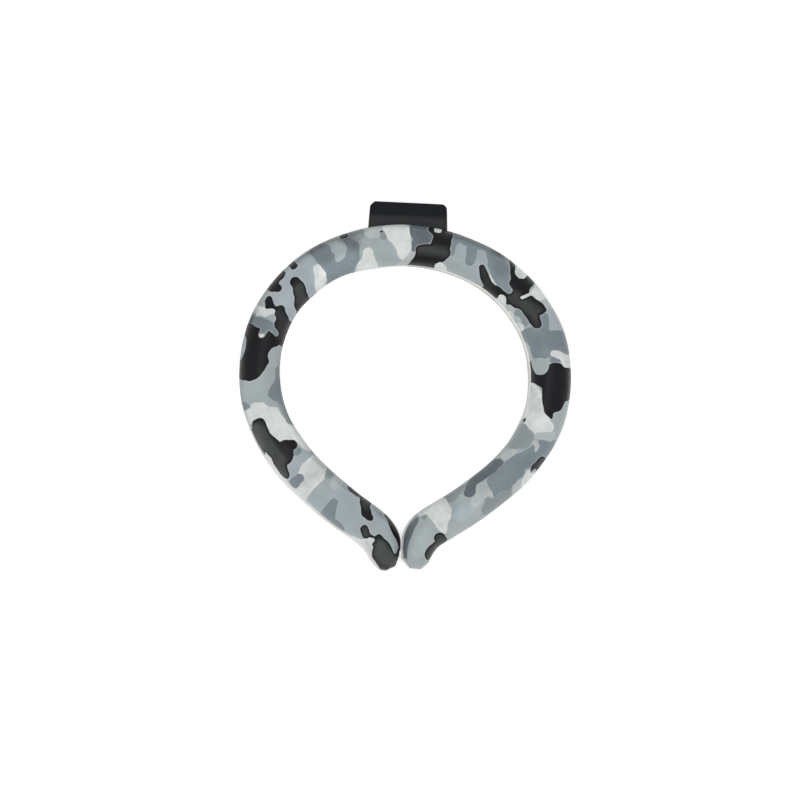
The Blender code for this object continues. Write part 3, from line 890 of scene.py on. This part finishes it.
def print_inks(mesh, turned):
    """Keeps each ink's signed distance in mm at the mesh's points, and the two tones, which fall off smoothly from
    their lobes. turned prints the chart end for end."""
    flip = -1 if turned else 1
    along = read_layer(mesh, "along") * flip
    across = read_layer(mesh, "across") * flip
    along = along + PRINT_WANDER * waves(along, across, PRINT_WAVE, seed=11)
    across = across + PRINT_WANDER * waves(along, across, PRINT_WAVE, seed=12)
    fields = {ink: np.full(along.shape, NO_INK) for ink in INK_ORDER}
    for ink, *lobes in BLOTCHES:
        near = chain(along, across, lobes)
        for other in INK_ORDER:
            if other == ink:
                fields[other] = soft_min(fields[other], near, INK_FLOW)
            else:
                fields[other] = -soft_min(-fields[other], near, CUT_EASE)
    tones = {"faded": np.zeros(along.shape), "depth": np.zeros(along.shape)}
    for kind, strength, *lobes in TONES:
        near = np.clip(1 - np.maximum(chain(along, across, lobes), 0) / TONE_REACH, 0, 1)
        tones[kind] += strength * near**2 * (3 - 2 * near)
    keep_layers(mesh, {f"ink_{ink}": field for ink, field in fields.items()} | tones)


def film(name, context, upper):
    """One film as a closed shell: the section carried round the whole outline, over the weld or under it. The faces
    that touch a bare point take the bare film, and a grey line of painted shade near the weld's edge is a bell curve
    across it."""
    sizes = context.scene.neck_ring_film
    ring = outline(sizes)
    reach, height, across, bare, inset = film_section(ring, sizes)
    points = tube_points(ring, reach, height * (1 if upper else -1))
    along, across = skin_places(ring, across)
    # A bell curve of painted shade across the weld, near its edge
    pressed = np.exp(-(((inset - SHADE_LINE_AT) / SHADE_LINE_REACH) ** 2)) * (
        SHADE_LINE_LEAST + (1 - SHADE_LINE_LEAST) * (ring["side"] > 0)[:, None]
    )
    layers = {"along": along, "across": across, "bare": bare, "pressed": pressed}
    mesh = closed_mesh(name, points, loop_faces(*reach.shape), layers)
    print_inks(mesh, turned=not upper)
    bare = read_layer(mesh, "bare")[read(mesh.loops, "vertex_index", np.int32)]
    bare = np.maximum.reduceat(bare, read(mesh.polygons, "loop_start", np.int32)) > 0.5
    mesh.polygons.foreach_set("material_index", bare.astype(np.int32))
    mesh.materials.append(material("satin_printed_polyurethane_film", printed_film, context))
    mesh.materials.append(material("welded_bare_polyurethane_film", weld_film, context))
    return mesh


def core(name, context):
    """The filling as one closed tube: r = a sin t and z = h cos t round each station, a clear gap inside the films'
    inner faces, where a and h are the film's foot and rise less its wall and the gap."""
    sizes = context.scene.neck_ring_film
    ring = {key: values if key == "length" else values[::CORE_STRIDE] for key, values in outline(sizes).items()}
    edge, weld = trim(ring)
    foot = ring_mean(edge - np.maximum(weld, LEAST_WELD), CORE_EASE)
    turns = np.linspace(0.0, math.pi, 2 * INNER_COLUMNS + 1)
    reach = (foot - sizes.wall - CORE_GAP)[:, None] * np.sin(turns)
    height = (ring["half_height"] - sizes.wall - CORE_GAP)[:, None] * np.cos(turns)
    mesh = closed_mesh(name, tube_points(ring, reach, height), loop_faces(*reach.shape), {})
    mesh.materials.append(material("set_phase_change_filling", filling_wax, context))
    return mesh


def crowded(steps):
    """Places from -1 to 1 that crowd towards both ends: the sine of even turns."""
    return np.sin(np.linspace(-math.pi / 2, math.pi / 2, steps + 1))


def tab(name, context):
    """The tab: its two faces on one grid of points, merged along its outline.

    Across the width the points crowd towards the sides, and from the root to the outer edge they crowd towards both.
    A point lies straight between the root, which follows the tube's outer side, and the outer edge, which rises
    evenly towards -X and drops at each corner by its radius times 1 - (1 - p^n)^(1/n), where p is the way into the
    corner. The thickness follows a quarter ellipse from the outline inwards, less a groove with the section of a bell
    curve, and the upper face has a low crown.
    """
    sizes = context.scene.neck_ring_tab
    film_sizes = context.scene.neck_ring_film
    low, high = TAB_BOX
    middle_x = (low.x + high.x) / 2
    u, v = np.meshgrid(crowded(TAB_COLUMNS), (1 + crowded(TAB_ROWS)) / 2)
    x = middle_x + u * (sizes.root_width + (sizes.outer_width - sizes.root_width) * v) / 2
    line, outward, lengths = middle_line(film_sizes)
    half_width, _ = tube_sizes(film_sizes, lengths)
    curve = line + outward * (half_width + TAB_TUCK)[:, None]
    curve = curve[: np.argmax(curve[:, 0]) + 1]
    root_x = middle_x + u * sizes.root_width / 2
    root_y = np.interp(np.abs(root_x), curve[:, 0], curve[:, 1])
    past = np.abs(u) * sizes.outer_width / 2 - (sizes.outer_width / 2 - sizes.corner)
    past = np.clip(past, 0.0, sizes.corner) / sizes.corner
    power = np.where(u < 0, *CORNER_POWERS)
    outer_y = high.y - sizes.corner + sizes.corner * (1 - past**power) ** (1 / power)
    outer_y += TAB_SLANT * (1 - u) / 2
    y = root_y + (outer_y - root_y) * v
    plan = np.stack([x, y], axis=2)
    rim = np.concatenate([plan[0], plan[-1], plan[:, 0], plan[:, -1]])
    rim = np.concatenate([rim, (rim[1:] + rim[:-1]) / 2])
    inset = np.sqrt(((plan[:, :, None] - rim) ** 2).sum(axis=3).min(axis=2))
    near = np.clip(inset / sizes.edge, 0.0, 1.0)
    half = (high.z - low.z) / 2 * np.sqrt(1 - (1 - near) ** 2)
    groove = GROOVE_DEPTH * np.exp(-(((inset - GROOVE_INSET) / GROOVE_WIDTH) ** 2))
    crown = sizes.crown * np.clip(1 - u**2, 0, 1) * np.sin(math.pi * v)
    middle_z = (low.z + high.z) / 2 + TAB_LIFT
    top = np.dstack([plan, middle_z + half - groove + crown * near])
    bottom = np.dstack([plan, middle_z - half + groove])
    corner = np.arange(u.size).reshape(u.shape)
    upper = np.stack([corner[:-1, :-1], corner[:-1, 1:], corner[1:, 1:], corner[1:, :-1]], axis=-1)
    lower = upper[:, :, ::-1] + u.size
    faces = np.concatenate([upper.reshape(-1, 4), lower.reshape(-1, 4)])
    mesh = closed_mesh(name, np.concatenate([top, bottom]), faces, {})
    mesh.materials.append(material("moulded_thermoplastic_rubber", tab_rubber, context))
    return mesh


def set_inputs(tree, node, inputs):
    """Sets a node's inputs, by socket name or number, each to a value or as a link from another node's output."""
    for name, value in inputs.items():
        if isinstance(value, bpy.types.NodeSocket):
            tree.links.new(value, node.inputs[name])
        else:
            node.inputs[name].default_value = value


def add_node(tree, kind, inputs, output=0, **settings):
    """Adds a shader node with its settings and inputs, and gives one of its outputs."""
    node = tree.nodes.new(f"ShaderNode{kind}")
    for name, value in settings.items():
        setattr(node, name, value)
    set_inputs(tree, node, inputs)
    return node.outputs[output]


def material(name, surface, context):
    """The material of this name, made when it is first asked for. surface gives the Principled surface's inputs from
    the node tree, the object's coordinates in it and the inks."""
    made = bpy.data.materials.get(name)
    if made is None:
        made = bpy.data.materials.new(name)
        made.use_nodes = True
        tree = made.node_tree
        place = add_node(tree, "TexCoord", {}, "Object")
        set_inputs(tree, tree.nodes["Principled BSDF"], surface(tree, place, context.scene.neck_ring_inks))
    return made


def printed_film(tree, place, inks):
    """Satin polyurethane film, gravure-printed and then vacuum-formed. The eye gets blotches with soft edges and a
    thin pale keyline round the darker ones, a cloudy tone inside each ink, and a broad dull highlight along the crest
    that breaks up on a fine grain."""
    drift = add_node(tree, "TexNoise", {"Vector": place, "Scale": per_metre(DRIFT_SIZE), "Detail": 2.0})
    cloud = add_node(tree, "TexNoise", {"Vector": place, "Scale": per_metre(CLOUD_SIZE), "Detail": 5.0,
                                        "Roughness": 0.6, "Distortion": 0.6})
    grain = add_node(tree, "TexNoise", {"Vector": place, "Scale": per_metre(GRAIN_SIZE), "Detail": 2.0})
    warm = add_node(tree, "MapRange", {"Value": drift, **DRIFT_SPAN})
    colour = add_node(
        tree, "Mix", {SHARE: warm, FIRST: opaque(inks.ground), SECOND: opaque(inks.ground_warm)}, **COLOUR_MIX
    )
    for ink in INK_ORDER:
        field = add_node(tree, "Attribute", {}, "Fac", attribute_name=f"ink_{ink}")
        if ink in KEYLINE_TONE:
            reach = {"From Min": KEYLINE_REACH, "From Max": 0.0, "To Max": KEYLINE_TONE[ink]}
            keyline = add_node(tree, "MapRange", {"Value": field, **reach}, **SMOOTH)
            colour = add_node(tree, "Mix", {SHARE: keyline, FIRST: colour, SECOND: opaque(inks.white)}, **COLOUR_MIX)
        edge = {"From Min": INK_SPREAD + INK_BLUR[ink], "From Max": INK_SPREAD - INK_BLUR[ink]}
        cover = add_node(tree, "MapRange", {"Value": field, **edge}, **SMOOTH)
        if INK_THIN[ink]:
            thin = add_node(tree, "MapRange", {"Value": cloud, **THIN_SPAN, "To Min": 1 - INK_THIN[ink]})
            cover = add_node(tree, "Math", {0: cover, 1: thin}, operation="MULTIPLY")
        tone = opaque(getattr(inks, ink))
        # Where charted, the black goes towards its paler tone: partly faded ink, partly painted highlight along the
        # crest
        if ink == "black":
            faded = add_node(tree, "Attribute", {}, "Fac", attribute_name="faded")
            breakup = add_node(tree, "MapRange", {"Value": cloud, **BREAKUP_SPAN, "To Min": BREAKUP_LEAST})
            faded = add_node(tree, "Math", {0: faded, 1: breakup}, operation="MULTIPLY")
            tone = add_node(tree, "Mix", {SHARE: faded, FIRST: tone, SECOND: opaque(inks.black_highlight_and_fade)}, **COLOUR_MIX)
        inside = add_node(tree, "MapRange", {"Value": field, "From Min": -RIM_REACH, "From Max": 0.0}, **SMOOTH)
        rim = opaque(getattr(inks, ink), RIM_TONE[ink])
        body = add_node(tree, "Mix", {SHARE: inside, FIRST: tone, SECOND: rim}, **COLOUR_MIX)
        colour = add_node(tree, "Mix", {SHARE: cover, FIRST: colour, SECOND: body}, **COLOUR_MIX)
    mottle = add_node(tree, "MapRange", {"Value": cloud, **NOISE_SPAN, **around(1, CLOUD_TONE)})
    speck = add_node(tree, "MapRange", {"Value": grain, **NOISE_SPAN, **around(1, GRAIN_TONE)})
    both = add_node(tree, "Math", {0: mottle, 1: speck}, operation="MULTIPLY")
    # The depth tone lightens or darkens the print: partly its own uneven tone, partly painted shade on the flanks
    # near the weld
    depth = add_node(tree, "Attribute", {}, "Fac", attribute_name="depth")
    both = add_node(tree, "Math", {0: both, 1: depth, 2: both}, operation="MULTIPLY_ADD")
    ripple = add_node(tree, "Bump", {"Height": cloud, "Strength": 0.5, "Distance": CLOUD_RELIEF * MM})
    relief = {"Height": grain, "Strength": 0.6, "Distance": GRAIN_RELIEF * MM, "Normal": ripple}
    return {
        "Base Color": add_node(tree, "VectorMath", {0: colour, "Scale": both}, operation="SCALE"),
        "Roughness": add_node(
            tree, "MapRange", {"Value": cloud, **NOISE_SPAN, **around(FILM_ROUGHNESS, SHEEN_SPREAD)}
        ),
        "Normal": add_node(tree, "Bump", relief),
        "IOR": 1.5,
        "Specular IOR Level": FILM_SHINE,
    }


def weld_film(tree, place, inks):
    """The same film left bare in the weld: two layers squeezed together between heated bars. The eye gets a cream
    band, a little duller than the print, with faint cloudy pressing marks and a grey line of painted shade near its
    edge."""
    press = add_node(tree, "TexNoise", {"Vector": place, "Scale": per_metre(PRESS_SIZE), "Detail": 4.0})
    # The grey line near the weld's edge is painted shade
    line = add_node(tree, "Attribute", {}, "Fac", attribute_name="pressed")
    colour = add_node(
        tree, "Mix", {SHARE: press, FIRST: opaque(inks.weld, WELD_SHADE), SECOND: opaque(inks.weld)}, **COLOUR_MIX
    )
    return {
        "Base Color": add_node(
            tree, "Mix", {SHARE: line, FIRST: colour, SECOND: opaque(inks.weld_shade_line)}, **COLOUR_MIX
        ),
        "Roughness": 0.5,
        "Normal": add_node(tree, "Bump", {"Height": press, "Strength": 0.5, "Distance": PRESS_RELIEF * MM}),
        "IOR": 1.5,
        "Specular IOR Level": FILM_SHINE,
    }


def tab_rubber(tree, place, inks):
    """Soft black thermoplastic rubber, moulded in a fine spark-eroded mould. The eye gets a near-black outer half, a
    greyer inner half that is painted light, lighter where the tab catches more light, and a dull fine-grained sheen."""
    low, high = TAB_BOX
    turn = {f"From {end}": low.y + share * (high.y - low.y) for end, share in zip(("Min", "Max"), TAB_FADE)}
    grain = add_node(tree, "TexNoise", {"Vector": place, "Scale": per_metre(TAB_GRAIN_SIZE), "Detail": 3.0})
    rise = add_node(tree, "SeparateXYZ", {"Vector": place}, "Y")
    rise = add_node(tree, "MapRange", {"Value": rise, **turn}, **SMOOTH)
    colour = add_node(
        tree, "Mix", {SHARE: rise, FIRST: opaque(inks.tab_inner_lit), SECOND: opaque(inks.tab_dark)}, **COLOUR_MIX
    )
    speck = add_node(tree, "MapRange", {"Value": grain, **NOISE_SPAN, **around(1, TAB_GRAIN_TONE)})
    return {
        "Base Color": add_node(tree, "VectorMath", {0: colour, "Scale": speck}, operation="SCALE"),
        "Roughness": add_node(
            tree, "MapRange", {"Value": grain, **NOISE_SPAN, **around(TAB_ROUGHNESS, TAB_SHEEN_SPREAD)}
        ),
        "Normal": add_node(tree, "Bump", {"Height": grain, "Strength": 0.7, "Distance": TAB_RELIEF * MM}),
        "IOR": 1.5,
        "Specular IOR Level": TAB_SHINE,
    }


def filling_wax(tree, place, inks):
    """Phase-change filling, poured and set like wax. Where it could be seen, the eye would get a milky solid with
    cloudy crystals."""
    cloud = add_node(tree, "TexNoise", {"Vector": place, "Scale": per_metre(CLOUD_SIZE), "Detail": 5.0})
    tones = {SHARE: cloud, FIRST: opaque(inks.filling, FILLING_SHADE), SECOND: opaque(inks.filling)}
    return {"Base Color": add_node(tree, "Mix", tones, **COLOUR_MIX), "Roughness": 0.55, "IOR": 1.44}


def floor_sheet(tree, place, _):
    """Opal acrylic sheet, cast and lit from behind. The eye gets an even white ground that hardly takes a shadow."""
    haze = add_node(tree, "TexNoise", {"Vector": place, "Scale": per_metre(HAZE_SIZE), "Detail": 3.0})
    tones = {SHARE: haze, FIRST: opaque(linear("#f6f6f6")), SECOND: opaque(linear("#fafafa"))}
    return {
        "Base Color": add_node(tree, "Mix", tones, **COLOUR_MIX),
        "Roughness": 0.7,
        "Emission Color": (1.0, 1.0, 1.0, 1.0),
        "Emission Strength": FLOOR_GLOW,
    }


def link(context, name, data):
    """An object of this name in the scene."""
    obj = bpy.data.objects.new(name, data)
    context.scene.collection.objects.link(obj)
    return obj


def set_out(context, mesh, slot, *nodes):
    """Rides the piece on the ring's one body, in place of these CAD nodes. slot is not used."""
    obj = link(context, mesh.name, mesh)
    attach(obj, "root")
    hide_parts(*nodes)


class NECKRING_OT_films(bpy.types.Operator):
    """Forms the upper and the lower printed film"""

    bl_idname = "neck_ring.films"
    bl_label = "Form the films"

    def execute(self, context):
        set_out(context, film("upper_film", context, True), "printed_film", "upper_skin")
        set_out(context, film("lower_film", context, False), "printed_film", "lower_skin")
        return {"FINISHED"}


class NECKRING_OT_tab(bpy.types.Operator):
    """Moulds the black tab at the nape"""

    bl_idname = "neck_ring.tab"
    bl_label = "Mould the tab"

    def execute(self, context):
        set_out(context, tab("neck_tab", context), "black_tab", "back_tag")
        return {"FINISHED"}


class NECKRING_OT_filling(bpy.types.Operator):
    """Pours the sealed filling"""

    bl_idname = "neck_ring.filling"
    bl_label = "Pour the filling"

    def execute(self, context):
        set_out(context, core("filling_core", context), "cooling_filling", "cooling_filling")
        return {"FINISHED"}


class NECKRING_OT_stage(bpy.types.Operator):
    """Sets the floor, the light and the camera"""

    bl_idname = "neck_ring.stage"
    bl_label = "Set the stage"

    def execute(self, context):
        scene = context.scene
        sizes = scene.neck_ring_stage
        half = sizes.floor_width / 2
        mesh = bpy.data.meshes.new("floor")
        mesh.from_pydata([(-half, -half, 0), (half, -half, 0), (half, half, 0), (-half, half, 0)], [], [(0, 1, 2, 3)])
        mesh.materials.append(material("backlit_opal_acrylic_sheet", floor_sheet, context))
        link(context, "floor", mesh)
        scene.world = bpy.data.worlds.new("soft_room")
        scene.world.use_nodes = True
        sky = {"Color": opaque(linear("#fefefe")), "Strength": ROOM_LIGHT}
        set_inputs(scene.world.node_tree, scene.world.node_tree.nodes["Background"], sky)
        for name, place, width, power in LAMPS:
            lamp = bpy.data.lights.new(name, "AREA")
            lamp.shape = "DISK"
            lamp.size = width
            lamp.energy = power
            holder = link(context, name, lamp)
            holder.location = place
            holder.rotation_mode = "QUATERNION"
            holder.rotation_quaternion = holder.location.to_track_quat("Z", "Y")
            holder.visible_camera = False
        camera = bpy.data.cameras.new("camera")
        camera.lens = sizes.lens
        camera.clip_end = CLIP_END
        away = sizes.view_width / camera.sensor_width * sizes.lens
        scene.camera = link(context, "camera", camera)
        scene.camera.location = (sizes.view_x, sizes.view_y, WELD_Z + away)
        scene.camera.rotation_euler = (0.0, 0.0, sizes.view_turn)
        scene.view_settings.view_transform = "Standard"
        return {"FINISHED"}


GROUPS = {
    "neck_ring_film": FilmSizes,
    "neck_ring_tab": TabSizes,
    "neck_ring_inks": Inks,
    "neck_ring_stage": StageSizes,
}
OPERATORS = (NECKRING_OT_films, NECKRING_OT_tab, NECKRING_OT_filling, NECKRING_OT_stage)


class NECKRING_PT_looks(bpy.types.Panel):
    """Lists the ring's sizes, inks and pieces"""

    bl_idname = "NECKRING_PT_looks"
    bl_label = "Neck Ring"
    bl_space_type = "VIEW_3D"
    bl_region_type = "UI"
    bl_category = "Neck Ring"

    def draw(self, context):
        for name in GROUPS:
            group = getattr(context.scene, name)
            box = self.layout.box()
            box.label(text=name.rsplit("_", 1)[-1].capitalize())
            for setting in group.__annotations__:
                box.prop(group, setting)
        for operator in OPERATORS:
            self.layout.operator(operator.bl_idname)


CLASSES = (*GROUPS.values(), *OPERATORS, NECKRING_PT_looks)


def register():
    for item in CLASSES:
        bpy.utils.register_class(item)
    for name, group in GROUPS.items():
        setattr(bpy.types.Scene, name, bpy.props.PointerProperty(type=group))


def unregister():
    for name in GROUPS:
        delattr(bpy.types.Scene, name)
    for item in reversed(CLASSES):
        bpy.utils.unregister_class(item)


def main():
    register()
    bpy.ops.neck_ring.stage()
    bpy.ops.neck_ring.films()
    bpy.ops.neck_ring.tab()
    bpy.ops.neck_ring.filling()


if __name__ == "__main__":
    main()
